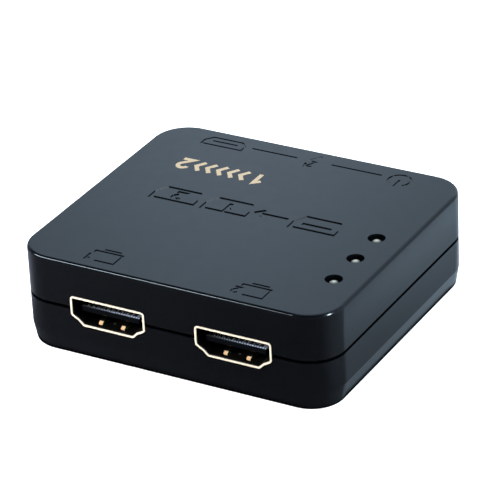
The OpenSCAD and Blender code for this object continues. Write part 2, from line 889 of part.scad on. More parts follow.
module power_inlet_insulator() {
  color("#17181b")
    at_inlet()
      difference() {
        union() {
          prism(inlet_outline(-fit_gap), inlet_hollow, inlet_l);
          translate([-inlet_tongue_w / 2, tongue_back, inlet_tongue_z])
            cube([inlet_tongue_w, inlet_l - tongue_back, inlet_tongue_t]);
        }
        blades(5, inlet_pitch, tongue_back + 2 * hole_gap, inlet_l + 1,
          inlet_tongue_z - pole_proud, fit_gap / 2);
      }
}

module power_inlet_contacts() {
  lower = inlet_tongue_z - pole_proud;
  back = inlet_l + hole_gap + pole_t;
  color("#e2c46e")
    at_inlet() {
      blades(5, inlet_pitch, tongue_back + 2 * hole_gap, back, lower, 0);
      tails(5, inlet_pitch, back, lower, inlet_rise);
    }
}

// Slide switch
module at_switch() {
  translate([switch_x, switch_face - switch_d / 2, board_top])
    children();
}

module switch_housing() {
  inner_w = switch_w - 2 * sheet;
  inner_d = switch_d - 2 * sheet;
  color("#c4c7ca")
    at_switch()
      difference() {
        block(switch_w, switch_d, switch_h);
        translate([0, 0, -1])
          block(inner_w, inner_d, switch_h - sheet + 1);
        translate([-slot_w / 2, 0, switch_mid - board_top - slot_h / 2])
          cube([slot_w, switch_d, slot_h]);
      }
}

module switch_base() {
  color("#4a2f1c")
    at_switch()
      difference() {
        block(switch_w - 2 * sheet - 2 * fit_gap, switch_d - 2 * sheet - 2 * fit_gap, switch_base_t);
        for (k = [-1 : 1])
          translate([k * pin_pitch, 0, -1])
            block(pin_w + 2 * fit_gap, pin_w + 2 * fit_gap, switch_base_t + 2);
      }
}

module switch_pins() {
  color("#c9ccd0")
    at_switch()
      for (k = [-1 : 1])
        translate([k * pin_pitch, 0, -board_t - leg_out])
          block(pin_w, pin_w, board_t + leg_out + switch_base_t);
}

module switch_slider() {
  depth = switch_d - 2 * sheet - 2 * run_gap;
  color("#101113")
    at_switch()
      translate([-switch_travel / 2, 0, 0]) {
        translate([0, 0, switch_base_t + run_gap])
          block(slider_l, depth, slider_h);
        translate([-knob_w / 2, 0, switch_mid - board_top - knob_h / 2])
          cube([knob_w, case_d / 2 - switch_face + switch_d / 2, knob_h]);
      }
}

// Lamps
module lamp(k) {
  color("#e6e8ea")
    at_lamp(k)
      union() {
        translate([0, 0, lamp_seat - lamp_flange_h])
          cylinder(r = lamp_flange_r, h = lamp_flange_h);
        translate([0, 0, lamp_seat - lamp_flange_h])
          cylinder(r = lamp_r, h = lamp_l + lamp_flange_h);
        translate([0, 0, lamp_dome_z])
          sphere(lamp_r);
      }
}

module lamp_rear() {
  lamp(1);
}

module lamp_middle() {
  lamp(0);
}

module lamp_front() {
  lamp(-1);
}

module lamp_leads() {
  low = board_z - lead_out;
  color("#c9ccd0")
    for (k = [-1 : 1], side = [-1, 1])
      at_lamp(k)
        translate([side * lead_pitch / 2, 0, low])
          block(lead_w, lead_w, lamp_seat - lamp_flange_h - low);
}

// Board parts
module gull_leads(count, pitch, half, height, width) {
  mid = height / 2;
  heel = lead_reach - lead_foot;
  for (k = [0 : count - 1])
    translate([(k - (count - 1) / 2) * pitch, half, 0])
      bar([
        [0, mid], [heel + chip_lead_t, mid], [heel + chip_lead_t, chip_lead_t], [lead_reach, chip_lead_t],
        [lead_reach, 0], [heel, 0], [heel, mid - chip_lead_t], [0, mid - chip_lead_t]
      ], -width / 2, width / 2);
}

module at_chip() {
  translate([0, -chip_front, board_top])
    children();
}

module at_memory() {
  translate([memory_x, memory_y, board_top])
    children();
}

module at_regulator() {
  translate([regulator_x, regulator_y, board_top])
    children();
}

module splitter_chip() {
  mark = dimple_inset - chip_w / 2;
  color("#141518")
    at_chip()
      difference() {
        translate([0, 0, chip_lead_t])
          block(chip_w, chip_w, chip_h - chip_lead_t);
        translate([mark, mark, chip_h - dimple_d])
          cylinder(r = dimple_r, h = 1);
      }
}

module splitter_chip_leads() {
  color("#c9ccd0")
    at_chip()
      for (side = [0 : 3])
        rotate(90 * side)
          gull_leads(chip_leads, chip_pitch, chip_w / 2, chip_h, chip_lead_w);
}

module memory_chip() {
  color("#141518")
    at_memory()
      translate([0, 0, chip_lead_t])
        block(memory_l, memory_w, memory_h - chip_lead_t);
}

module memory_chip_leads() {
  color("#c9ccd0")
    at_memory()
      for (side = [0, 180])
        rotate(side)
          gull_leads(4, memory_pitch, memory_w / 2, memory_h, memory_lead_w);
}

module voltage_regulator() {
  color("#141518")
    at_regulator()
      translate([0, 0, chip_lead_t])
        block(regulator_l, regulator_w, regulator_h - chip_lead_t);
}

module voltage_regulator_leads() {
  color("#c9ccd0")
    at_regulator() {
      rotate(180)
        gull_leads(3, regulator_pitch, regulator_w / 2, regulator_h, regulator_lead_w);
      gull_leads(1, regulator_pitch, regulator_w / 2, regulator_h, tab_w);
    }
}

module long_can(length, width, height) {
  block(length - width, width, height);
  for (end = [-1, 1])
    translate([end * (length - width) / 2, 0, 0])
      cylinder(r = width / 2, h = height);
}

module crystal_can() {
  color("#c4c7ca")
    translate([crystal_x, -chip_front, board_top])
      rotate(90)
        union() {
          long_can(crystal_l + 2 * crystal_rim_w, crystal_w + 2 * crystal_rim_w, crystal_rim_h);
          long_can(crystal_l, crystal_w, crystal_h);
        }
}

module at_capacitor(k) {
  translate([cap_x, cap_y + k * cap_pitch, board_top])
    children();
}

module capacitor_bases() {
  side = 2 * cap_r + 2 * cap_base_rim;
  color("#26282c")
    for (k = [0, 1])
      at_capacitor(k)
        block(side, side, cap_base_h);
}

module capacitor_cans() {
  color("#b9bcc0")
    for (k = [0, 1])
      at_capacitor(k)
        translate([0, 0, cap_base_h])
          cylinder(r = cap_r, h = cap_h - cap_base_h);
}

module resistor_row(x, y) {
  for (k = [-2 : 2])
    translate([x + k * resistor_pitch, y, board_top])
      block(resistor_w, resistor_l, resistor_h);
}

module chip_resistors() {
  color("#3a3c40") {
    resistor_row(output_shift - output_x, -resistor_y);
    resistor_row(output_shift + output_x, -resistor_y);
    resistor_row(input_x, resistor_y);
  }
}

top_cover();
bottom_cover();
case_screws();
foot_front_left();
foot_front_right();
foot_rear_left();
foot_rear_right();
circuit_board();
output_1_shell();
output_1_insulator();
output_1_contacts();
output_2_shell();
output_2_insulator();
output_2_contacts();
input_shell();
input_insulator();
input_contacts();
power_inlet_shell();
power_inlet_insulator();
power_inlet_contacts();
switch_housing();
switch_base();
switch_pins();
switch_slider();
lamp_rear();
lamp_middle();
lamp_front();
lamp_leads();
splitter_chip();
splitter_chip_leads();
memory_chip();
memory_chip_leads();
voltage_regulator();
voltage_regulator_leads();
crystal_can();
capacitor_bases();
capacitor_cans();
chip_resistors();
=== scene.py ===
# %% [markdown]
# # A small two-way video splitter
# A black plastic box with two gold-rimmed sockets in front and three lamps in its top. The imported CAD
# part is the fixed frame: its pieces keep their place and their shape, and this lesson gives them their
# finishes, cuts the marks into the top and sets up the studio.

# %% Load the frame
import json
import math

import bmesh
import bpy
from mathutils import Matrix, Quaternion, Vector


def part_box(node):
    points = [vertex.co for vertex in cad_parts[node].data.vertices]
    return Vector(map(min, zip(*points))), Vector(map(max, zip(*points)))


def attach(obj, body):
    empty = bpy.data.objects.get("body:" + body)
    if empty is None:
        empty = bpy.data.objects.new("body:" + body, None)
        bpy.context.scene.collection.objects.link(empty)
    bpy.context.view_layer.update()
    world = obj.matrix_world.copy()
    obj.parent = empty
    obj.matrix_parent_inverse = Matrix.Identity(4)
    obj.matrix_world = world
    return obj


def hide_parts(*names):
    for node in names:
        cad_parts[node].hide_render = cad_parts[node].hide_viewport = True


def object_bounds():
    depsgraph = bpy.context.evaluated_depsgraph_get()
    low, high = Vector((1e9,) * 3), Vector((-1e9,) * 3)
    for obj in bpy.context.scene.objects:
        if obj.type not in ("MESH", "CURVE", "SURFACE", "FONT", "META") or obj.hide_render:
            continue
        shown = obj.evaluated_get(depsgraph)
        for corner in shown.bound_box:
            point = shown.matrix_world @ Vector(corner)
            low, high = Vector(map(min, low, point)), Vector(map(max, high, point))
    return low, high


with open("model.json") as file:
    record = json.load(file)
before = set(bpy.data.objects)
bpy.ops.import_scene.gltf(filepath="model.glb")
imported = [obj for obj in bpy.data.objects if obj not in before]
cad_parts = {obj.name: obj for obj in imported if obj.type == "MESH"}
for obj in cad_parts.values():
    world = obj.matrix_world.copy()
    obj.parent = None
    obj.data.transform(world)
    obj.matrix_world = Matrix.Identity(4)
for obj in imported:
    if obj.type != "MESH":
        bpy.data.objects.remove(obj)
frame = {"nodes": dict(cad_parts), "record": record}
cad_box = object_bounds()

MM = 0.001
nodes = frame["nodes"]
scene = bpy.context.scene
scene.view_settings.view_transform = "Standard"
print("frame:", len(nodes), "pieces,", [round(side / MM, 2) for side in cad_box[1] - cad_box[0]], "mm")

# %% [markdown]
# ## Camera
# A long lens flattens the box, so its edges stay almost parallel. A camera can be given as one matrix,
# but here it is written as a photographer would note it: where it aims, from which side and height, how
# far away, and how much it leans. Each of those can be read and changed by itself.

# %% Camera
aim = Vector((-1.87, 4.57, 9.89)) * MM
azimuth = math.radians(30.163)
elevation = math.radians(28.274)
roll = math.radians(-2.78)
distance = 564.03 * MM
SENSOR_WIDTH = 36
LENS = 225.18

back = Vector((
    math.sin(azimuth) * math.cos(elevation),
    -math.cos(azimuth) * math.cos(elevation),
    math.sin(elevation),
))
camera = bpy.data.objects.new("camera", bpy.data.cameras.new("camera"))
camera.data.sensor_width = SENSOR_WIDTH
camera.data.lens = LENS
camera.data.clip_start = 10 * MM
camera.location = aim + distance * back
camera.rotation_mode = "QUATERNION"
camera.rotation_quaternion = back.to_track_quat("Z", "Y") @ Quaternion((0, 0, 1), roll)
scene.collection.objects.link(camera)
scene.camera = camera
print("camera at", [round(side / MM, 1) for side in camera.location], "mm")

# %% [markdown]
# ## Node helpers
# The paper, the card, the sky and every finish are small node trees. Wiring each by hand would bury the
# idea, so these helpers each add one kind of node and return the socket that carries its result.

# %% Node helpers
def feed(tree, value, socket):
    """Links a socket to an input, or writes a number or colour into it."""
    if isinstance(value, bpy.types.NodeSocket):
        tree.links.new(value, socket)
    else:
        socket.default_value = value


def math_node(tree, operation, a, b):
    """One Math node between two sockets or numbers."""
    node = tree.nodes.new("ShaderNodeMath")
    node.operation = operation
    for socket, value in zip(node.inputs, (a, b)):
        feed(tree, value, socket)
    return node.outputs[0]


def product(tree, first, *others):
    """All the factors multiplied together."""
    total = first
    for factor in others:
        total = math_node(tree, "MULTIPLY", total, factor)
    return total


def gap(tree, value, place):
    """How far a value lies from a place, to either side."""
    return math_node(tree, "ABSOLUTE", math_node(tree, "SUBTRACT", value, place), 0)


def ramped(tree, value, low, high, at_low, at_high):
    """A smooth change from at_low to at_high while value goes from low to high."""
    node = tree.nodes.new("ShaderNodeMapRange")
    node.interpolation_type = "SMOOTHSTEP"
    tree.links.new(value, node.inputs["Value"])
    for name, number in zip(("From Min", "From Max", "To Min", "To Max"), (low, high, at_low, at_high)):
        node.inputs[name].default_value = number
    return node.outputs[0]


def mixed_colour(tree, factor, a, b):
    """One Mix node between two colours, by a factor socket."""
    node = tree.nodes.new("ShaderNodeMix")
    node.data_type = "RGBA"
    tree.links.new(factor, node.inputs["Factor"])
    for socket, value in zip(node.inputs[6:8], (a, b)):
        feed(tree, value, socket)
    return node.outputs[2]


def axes_of(tree, place):
    """The X, Y and Z of a place, or of a direction in the sky."""
    node = tree.nodes.new("ShaderNodeSeparateXYZ")
    tree.links.new(place, node.inputs[0])
    return node.outputs


print("node helpers ready")

# %% [markdown]
# ### Stage helpers
# Paper and card are flat sheets that light and reflect but don't belong to the box, so they are stage
# objects. Their materials start empty, and are built from emission, diffuse and transparent nodes.

# %% Stage helpers
def stage_sheet(name, side, height, material):
    """A flat square that lies level at that height, as a stage object."""
    mesh = bpy.data.meshes.new(name)
    shape = bmesh.new()
    corners = [(-1, -1), (1, -1), (1, 1), (-1, 1)]
    shape.faces.new([shape.verts.new((x * side / 2, y * side / 2, 0)) for x, y in corners])
    shape.to_mesh(mesh)
    shape.free()
    mesh.materials.append(material)
    sheet = bpy.data.objects.new(name, mesh)
    sheet.location = (0, 0, height)
    scene.collection.objects.link(sheet)
    return sheet


def empty_material(name):
    """A material with nothing but its output node."""
    material = bpy.data.materials.new(name)
    material.use_nodes = True
    tree = material.node_tree
    tree.nodes.remove(tree.nodes["Principled BSDF"])
    return material, tree, tree.nodes["Material Output"].inputs["Surface"]


def coloured(tree, kind, colour):
    """A shader node of that kind, in one colour."""
    node = tree.nodes.new(kind)
    node.inputs["Color"].default_value = colour
    return node


def mixed_shader(tree, factor, a, b):
    """Shader a where the factor is 0, and b where it is 1."""
    node = tree.nodes.new("ShaderNodeMixShader")
    for socket, value in zip(node.inputs, (factor, a.outputs[0], b.outputs[0])):
        tree.links.new(value, socket)
    return node.outputs[0]


print("stage helpers ready")

# %% [markdown]
# ## Floor
# The floor is pale paper. Brighter lamps would whiten it, but they would flood the box as well. So a
# diffuse surface keeps the soft shadow, and emission, which only the camera, mirrors and clear things
# see, lifts the rest to white. From below the paper is clear, so that the underside of the box can be
# looked at.

# %% Floor
FLOOR_SIDE = 8
PAPER = (0.90, 0.90, 0.90, 1)
PAPER_GLOW = 0.9
WHITE = (1, 1, 1, 1)


def paper_material():
    material, tree, surface = empty_material("white_paper")
    material.cycles.emission_sampling = "NONE"
    ray = tree.nodes.new("ShaderNodeLightPath").outputs
    shown = math_node(tree, "MAXIMUM", ray["Is Camera Ray"], ray["Is Glossy Ray"])
    shown = math_node(tree, "MAXIMUM", shown, ray["Is Transmission Ray"])
    glow = coloured(tree, "ShaderNodeEmission", WHITE)
    tree.links.new(product(tree, shown, PAPER_GLOW), glow.inputs["Strength"])
    both = tree.nodes.new("ShaderNodeAddShader")
    tree.links.new(coloured(tree, "ShaderNodeBsdfDiffuse", PAPER).outputs[0], both.inputs[0])
    tree.links.new(glow.outputs[0], both.inputs[1])
    from_below = tree.nodes.new("ShaderNodeNewGeometry").outputs["Backfacing"]
    clear = coloured(tree, "ShaderNodeBsdfTransparent", WHITE)
    tree.links.new(mixed_shader(tree, from_below, both, clear), surface)
    return material


floor = stage_sheet("floor", FLOOR_SIDE, 0, paper_material())
print("floor:", floor.dimensions[0], "m wide")

# %% [markdown]
# ## Painted shade card
# Glossy black shows what lies around it. As a photographer's dark card round such a box would, one sheet
# keeps its front and its outline black and leaves the paper bare beside one wall, which then fades to
# grey:
# its dark is painted shade of the floor that the box mirrors. Cut card would give hard edges, so the sheet
# has a material that goes from dark to clear. The bare wedge opens at the near corner, by the angle round
# it, as the corner's own reflections turn, so the flat wall and the round corner part in a crisp upright
# line. Close to the outline the sheet is black, as a painted contact shadow, and beyond the mirror image
# of the top edge it dims again. The sheet shows in reflections only.

# %% Outline of the box
CORNER = 6.6 * MM
RIM_PROUD = 0.1 * MM
wall_x = cad_box[1].x
wall_y = cad_box[1].y
corner_y = CORNER + RIM_PROUD - wall_y


def from_outline(tree, x, y):
    """Distance of a point on the floor from the rounded outline of the box, below 0 under it."""
    squares = []
    for place, reach in ((x, wall_x), (y, wall_y)):
        past = math_node(tree, "SUBTRACT", gap(tree, place, 0), reach - CORNER)
        past = math_node(tree, "MAXIMUM", past, 0)
        squares.append(product(tree, past, past))
    across = math_node(tree, "POWER", math_node(tree, "ADD", *squares), 0.5)
    return math_node(tree, "SUBTRACT", across, CORNER)


def turn_from(tree, outwards, y):
    """The angle round the end of a wall, from straight out towards the rear."""
    return math_node(tree, "ARCTAN2", math_node(tree, "SUBTRACT", y, corner_y), outwards)


print("near corner ends at y =", round(corner_y / MM, 1), "mm")

# %% Bare paper beside the wall
# Each fade says where it starts, where it ends, and its value at either place.
# The fades paint the light and shade of the floor that the right wall mirrors: a painted contact shadow at
# the outline, painted shade near the wall with a lighter strip at its foot, and more light to the rear.
ROUND_FADE = (math.radians(-40), math.radians(5), 0, 0.34)
WALL_FADE = (math.radians(46), math.radians(60), 0, 0.66)
TOP_EDGE_FADE = (15.1 * MM, 16.6 * MM, 1, 0.1)
CONTACT_FADE = (0.05 * MM, 0.5 * MM, 0, 1)
BESIDE_FADE = (-3 * MM, 0, 0, 1)
FOOT_FADE = (1.5 * MM, 4 * MM, 0.92, 0)
OUTWARD_FADE = (3 * MM, 20.5 * MM, 0.53, 1.03)
BACKWARD_FADE = (corner_y, 45 * MM, 0.33, 0.69)


def bare_share(tree, x, y, outside):
    """How bare the paper lies: 0 where the card hides it, more beside the right wall."""
    east = math_node(tree, "SUBTRACT", x, wall_x)
    corner_east = math_node(tree, "ADD", east, CORNER)
    round_corner = ramped(tree, turn_from(tree, corner_east, y), *ROUND_FADE)
    flat_wall = ramped(tree, turn_from(tree, east, y), *WALL_FADE)
    flat_wall = product(tree, flat_wall, ramped(tree, east, *TOP_EDGE_FADE))
    wedge = math_node(tree, "ADD", round_corner, flat_wall)
    contact = ramped(tree, outside, *CONTACT_FADE)
    beside = ramped(tree, east, *BESIDE_FADE)
    foot = ramped(tree, east, *FOOT_FADE)
    outwards = math_node(tree, "MAXIMUM", foot, ramped(tree, east, *OUTWARD_FADE))
    backwards = ramped(tree, y, *BACKWARD_FADE)
    return product(tree, wedge, contact, beside, outwards, backwards)


print("bare wedge opens from", round(math.degrees(WALL_FADE[0])), "degrees")

# %% Painted shade card
CARD_SIDE = 1.6
CARD_LIFT = 0.2 * MM
CARD_TINT = (0.76, 0.83, 1.05, 1)
FILM_TINT = (0.72, 0.87, 1.0, 1)
LEFT_LIGHT_FADE = (-60 * MM, 25 * MM, 0.21, 0.082)
REAR_FADE = (-30 * MM, 15 * MM, 1, 0.25)
LEFT_BAND_FADE = (math.radians(-40), math.radians(20), 0, 0.3)
LEFT_OUTWARD_FADE = (8 * MM, 16 * MM, 0, 1)
CARD_CONTACT_FADE = (0.3 * MM, 0.9 * MM, 0, 1)


def card_glow(tree, x, y, outside):
    """How bright the card itself shows: faint, a painted reflection of more light at the left, and black
    where it meets the box, as a painted contact shadow.
    """
    west = math_node(tree, "SUBTRACT", -wall_x, x)
    left_band = ramped(tree, turn_from(tree, west, y), *LEFT_BAND_FADE)
    left_band = product(tree, left_band, ramped(tree, west, *LEFT_OUTWARD_FADE))
    left_light = product(tree, ramped(tree, x, *LEFT_LIGHT_FADE), ramped(tree, y, *REAR_FADE))
    tone = math_node(tree, "ADD", left_light, left_band)
    return product(tree, tone, ramped(tree, outside, *CARD_CONTACT_FADE))


def card_material():
    material, tree, surface = empty_material("painted_shade_card")
    axes = axes_of(tree, tree.nodes.new("ShaderNodeTexCoord").outputs["Object"])
    place = (axes["X"], axes["Y"], from_outline(tree, axes["X"], axes["Y"]))
    dark = coloured(tree, "ShaderNodeEmission", CARD_TINT)
    tree.links.new(card_glow(tree, *place), dark.inputs["Strength"])
    film = coloured(tree, "ShaderNodeBsdfTransparent", FILM_TINT)
    tree.links.new(mixed_shader(tree, bare_share(tree, *place), dark, film), surface)
    return material


card = stage_sheet("painted_shade_card", CARD_SIDE, CARD_LIFT, card_material())
card.visible_camera = False
card.visible_diffuse = False
card.visible_shadow = False
print("dark card:", round(card.dimensions[0], 2), "m wide, seen in reflections only")

# %% [markdown]
# ## Surroundings
# A cool pale panel behind the box lights its top by reflection, and a dimmer one carries on to the right.
# Above and in front the room is dim, which draws the dark line round the top. The panels could be lit
# sheets, but as fades over the directions of the sky their edges stay soft and are easy to shift.

# %% Surroundings
SKY_TINT = (0.72, 0.93, 1.15, 1)
PANEL_GLOW = 1.09
BEHIND_FADE = (0.1, 0.6, 0, 1)
LEFT_END_FADE = (-0.53, -0.45, 0.62, 1.06)
RIGHT_END_FADE = (-0.455, -0.35, 1.05, 0.6)
LOW_END_FADE = (0.26, 0.4, 0.1, 1)
HIGH_END_FADE = (0.44, 0.51, 1.05, 0.7)
OVERHEAD_FADE = (0.5, 0.66, 1, 0.1)
RIGHT_PANEL_FADE = (-0.40, -0.28, 0, 0.85)
FAR_RIGHT_FADE = (-0.1, 0.55, 1, 0.42)
SIDE_FADE = (-0.1, 0.45, 0, 1)
ROOM_FADE = (0.1, 0.6, 0.16, 0.03)

world = bpy.data.worlds.new("studio")
scene.world = world
world.use_nodes = True
sky = world.node_tree
towards = axes_of(sky, sky.nodes.new("ShaderNodeTexCoord").outputs["Generated"])


def sky_panel(glow, *fades):
    """A glow with soft ends, each given by an axis and its fade."""
    return product(sky, *[ramped(sky, towards[axis], *fade) for axis, fade in fades], glow)


rear_panel = sky_panel(
    PANEL_GLOW, ("Y", BEHIND_FADE), ("X", LEFT_END_FADE), ("X", RIGHT_END_FADE),
    ("Z", LOW_END_FADE), ("Z", HIGH_END_FADE), ("Z", OVERHEAD_FADE),
)
right_panel = sky_panel(1, ("X", RIGHT_PANEL_FADE), ("X", FAR_RIGHT_FADE), ("Y", SIDE_FADE))
panels = math_node(sky, "MAXIMUM", rear_panel, right_panel)
room = ramped(sky, towards["Z"], *ROOM_FADE)
background = sky.nodes["Background"]
background.inputs["Color"].default_value = SKY_TINT
sky.links.new(math_node(sky, "ADD", panels, room), background.inputs["Strength"])
print("surroundings: a pale panel behind, a dimmer one at the right, dim elsewhere")

# %% [markdown]
# ## Lamps
# Three lamps do what the sky can't. A long softbox at the front left makes the bright line along the
# front edge, a low one further left wakes the gold, and an upright strip at the right leaves the glint on
# the near corner. Area lamps are used because their shape shows in the gloss, as that of a real softbox
# does.

# %% Lamps
COOL = (0.72, 0.88, 1.0)
PLAIN = (1.0, 0.98, 0.95)


def softbox(name, where, width, height, power, colour, turn=0):
    """A rectangular area lamp that faces the middle of the box, in metres, watts and degrees."""
    lamp = bpy.data.lights.new(name, "AREA")
    lamp.shape = "RECTANGLE"
    lamp.size = width
    lamp.size_y = height
    lamp.energy = power
    lamp.color = colour
    holder = bpy.data.objects.new(name, lamp)
    holder.location = Vector(where)
    holder.rotation_mode = "QUATERNION"
    upright = (Vector(where) - aim).to_track_quat("Z", "Y")
    holder.rotation_quaternion = upright @ Quaternion((0, 0, 1), math.radians(turn))
    scene.collection.objects.link(holder)
    return holder


softbox(
    "front_softbox", (-0.33, -0.248, 0.303), width=0.33, height=0.085, power=2.2, colour=COOL, turn=26.5
)
left_softbox = softbox(
    "left_softbox", (-0.38, -0.33, 0.10), width=0.30, height=0.10, power=5.2, colour=PLAIN
)
softbox(
    "right_strip", (0.405, -0.045, 0.175), width=0.07, height=0.28, power=2.3, colour=COOL, turn=-10
)

# %% [markdown]
# ## Finishes
# Every finish is a Principled shader fed by noise. A picture would need unwrapping and would blur close
# up, so the noise lies in the piece's own coordinates, in metres: its grain has a real size and moves
# with the piece. This small helper holds the steps that the finishes share.

# %% Finish helper
ROUGH_FROM = 0.3
ROUGH_TO = 0.7


class Finish:
    """A material in the making: its node tree, its shader and the place on the piece."""

    def __init__(self, name, **constants):
        self.material = bpy.data.materials.new(name)
        self.material.use_nodes = True
        self.tree = self.material.node_tree
        self.shader = self.tree.nodes["Principled BSDF"]
        self.place = self.tree.nodes.new("ShaderNodeTexCoord").outputs["Object"]
        for socket, value in constants.items():
            self.shader.inputs[socket.replace("_", " ")].default_value = value

    def noise(self, grain, detail=3.0, stretch=(1, 1, 1)):
        """Noise whose blobs are about one grain across."""
        texture = self.tree.nodes.new("ShaderNodeTexNoise")
        texture.inputs["Scale"].default_value = 1 / grain
        texture.inputs["Detail"].default_value = detail
        mapping = self.tree.nodes.new("ShaderNodeMapping")
        mapping.inputs["Scale"].default_value = stretch
        self.tree.links.new(self.place, mapping.inputs["Vector"])
        self.tree.links.new(mapping.outputs[0], texture.inputs["Vector"])
        return texture.outputs["Fac"]

    def base_colour(self, colour):
        """Base colour from a socket."""
        self.tree.links.new(colour, self.shader.inputs["Base Color"])
        return self

    def colours(self, factor, a, b):
        """Base colour that wanders between a and b."""
        return self.base_colour(mixed_colour(self.tree, factor, (*a, 1), (*b, 1)))

    def roughness(self, factor, low, high):
        """Roughness that wanders between low and high."""
        rough = ramped(self.tree, factor, ROUGH_FROM, ROUGH_TO, low, high)
        self.tree.links.new(rough, self.shader.inputs["Roughness"])
        return self

    def bump(self, height, depth, strength=1.0):
        """Small hills of that depth in the surface."""
        node = self.tree.nodes.new("ShaderNodeBump")
        node.inputs["Distance"].default_value = depth
        node.inputs["Strength"].default_value = strength
        self.tree.links.new(height, node.inputs["Height"])
        self.tree.links.new(node.outputs[0], self.shader.inputs["Normal"])
        return self

    def axis(self, letter):
        """One coordinate of the place on the piece."""
        return axes_of(self.tree, self.place)[letter]


finishes = {}
print("finish helper ready")

# %% [markdown]
# ### Case plastic
# Black moulded plastic with a satin gloss: the colour hardly varies, and the gloss does the work. Even
# gloss would look computed, so slow noise makes it a little uneven, and a very shallow bump is the orange
# peel of the mould.

# %% Case plastic
def case_plastic():
    finish = Finish("moulded_black")
    slow = finish.noise(9 * MM)
    finish.colours(slow, (0.0020, 0.0021, 0.0026), (0.0030, 0.0032, 0.0038))
    finish.roughness(finish.noise(2.5 * MM, 3), 0.145, 0.165)
    finish.bump(finish.noise(0.5 * MM, 2), 0.004 * MM, 0.12)
    return finish.material


finishes["case_black"] = case_plastic()
print("finish:", finishes["case_black"].name)

# %% [markdown]
# ### Rubber, screws and switch
# The hidden sides carry matt rubber feet, blackened screws and a plain black slider on a brown laminate
# base. Rubber is nearly all diffuse with a fine grain, the screws are metal with turning marks, and the
# laminate has fibres. Stretched noise gives marks and fibres their direction without a picture.

# %% Rubber, screws and switch
def foot_rubber():
    finish = Finish("foot_rubber", Specular_IOR_Level=0.3)
    grain = finish.noise(0.35 * MM, 4)
    finish.colours(grain, (0.018, 0.018, 0.019), (0.034, 0.034, 0.035))
    return finish.roughness(grain, 0.62, 0.85).bump(grain, 0.03 * MM, 0.5).material


def blackened_steel():
    finish = Finish("blackened_steel", Metallic=1.0)
    turning = finish.noise(0.25 * MM, 3, (1, 1, 6))
    finish.colours(turning, (0.10, 0.10, 0.105), (0.19, 0.19, 0.20))
    return finish.roughness(turning, 0.32, 0.5).bump(turning, 0.01 * MM, 0.4).material


def slider_plastic():
    finish = Finish("slider_black")
    grain = finish.noise(0.3 * MM, 3)
    finish.colours(grain, (0.014, 0.014, 0.016), (0.024, 0.024, 0.027))
    return finish.roughness(grain, 0.38, 0.52).bump(grain, 0.01 * MM, 0.4).material


def switch_laminate():
    finish = Finish("brown_laminate")
    fibres = finish.noise(0.4 * MM, 4, (1, 5, 5))
    finish.colours(fibres, (0.085, 0.042, 0.020), (0.15, 0.078, 0.040))
    return finish.roughness(fibres, 0.5, 0.7).material


finishes["foot_rubber"] = foot_rubber()
finishes["screw_steel"] = blackened_steel()
finishes["slider_black"] = slider_plastic()
finishes["switch_brown"] = switch_laminate()
print("finishes:", len(finishes))

# %% [markdown]
# ### Board, chips and cans
# These sit inside the closed case, and one grey would do. They still get the finish of the real thing,
# for when the case is opened: green resist over copper tracks, epoxy chips, tinned leads and drawn
# aluminium cans.

# %% Board, chips and cans
TRACK_GRID = 6 * MM
TRACK_SHARE = 0.012


def solder_resist():
    finish = Finish("solder_resist")
    tracks = finish.tree.nodes.new("ShaderNodeTexBrick")
    tracks.inputs["Scale"].default_value = 1 / TRACK_GRID
    tracks.inputs["Mortar Size"].default_value = TRACK_SHARE
    tracks.inputs["Color1"].default_value = (0.004, 0.040, 0.014, 1)
    tracks.inputs["Color2"].default_value = (0.005, 0.046, 0.016, 1)
    tracks.inputs["Mortar"].default_value = (0.014, 0.100, 0.036, 1)
    finish.tree.links.new(finish.place, tracks.inputs["Vector"])
    finish.base_colour(tracks.outputs["Color"]).roughness(finish.noise(3 * MM), 0.3, 0.42)
    return finish.bump(tracks.outputs["Fac"], 0.03 * MM, 0.5).material


def chip_epoxy():
    finish = Finish("chip_epoxy")
    grain = finish.noise(0.12 * MM, 3)
    finish.colours(grain, (0.016, 0.016, 0.018), (0.030, 0.030, 0.033))
    return finish.roughness(grain, 0.5, 0.66).bump(grain, 0.008 * MM, 0.5).material


def plated(name, dark, light, rough_low, rough_high):
    """Bare or plated metal whose tone wanders a little."""
    finish = Finish(name, Metallic=1.0)
    wander = finish.noise(0.3 * MM, 4)
    finish.colours(wander, dark, light)
    return finish.roughness(wander, rough_low, rough_high).bump(wander, 0.004 * MM, 0.4).material


finishes["board_green"] = solder_resist()
finishes["chip_black"] = chip_epoxy()
finishes["tin_plate"] = plated("tinned_copper", (0.50, 0.50, 0.51), (0.66, 0.66, 0.67), 0.25, 0.4)
finishes["can_silver"] = plated("drawn_aluminium", (0.62, 0.63, 0.64), (0.76, 0.76, 0.77), 0.22, 0.34)
finishes["contact_gold"] = plated("contact_flash", (0.66, 0.60, 0.46), (0.80, 0.74, 0.60), 0.2, 0.3)
print("finishes:", len(finishes))

# %% [markdown]
# ### Lamp resin
# The three lamps are milky resin: light scatters a little way in. Clear resin over a lit chip would be
# truer to a lamp that is on, but these are off, so a tone that changes with the height on the dome is
# enough: it paints the crown of the dome soft and pale as a highlight, and its skirt, down in the hole,
# dim as shade.

# %% Lamp resin
SKIRT_FROM = 0.34 * MM
SKIRT_TO = 0.08 * MM
TIP_FROM = 0.1 * MM
SKIRT_PAINTED_SHADE = (0.03, 0.03, 0.028, 1)
CROWN_PAINTED_HIGHLIGHT = (0.74, 0.68, 0.58, 1)


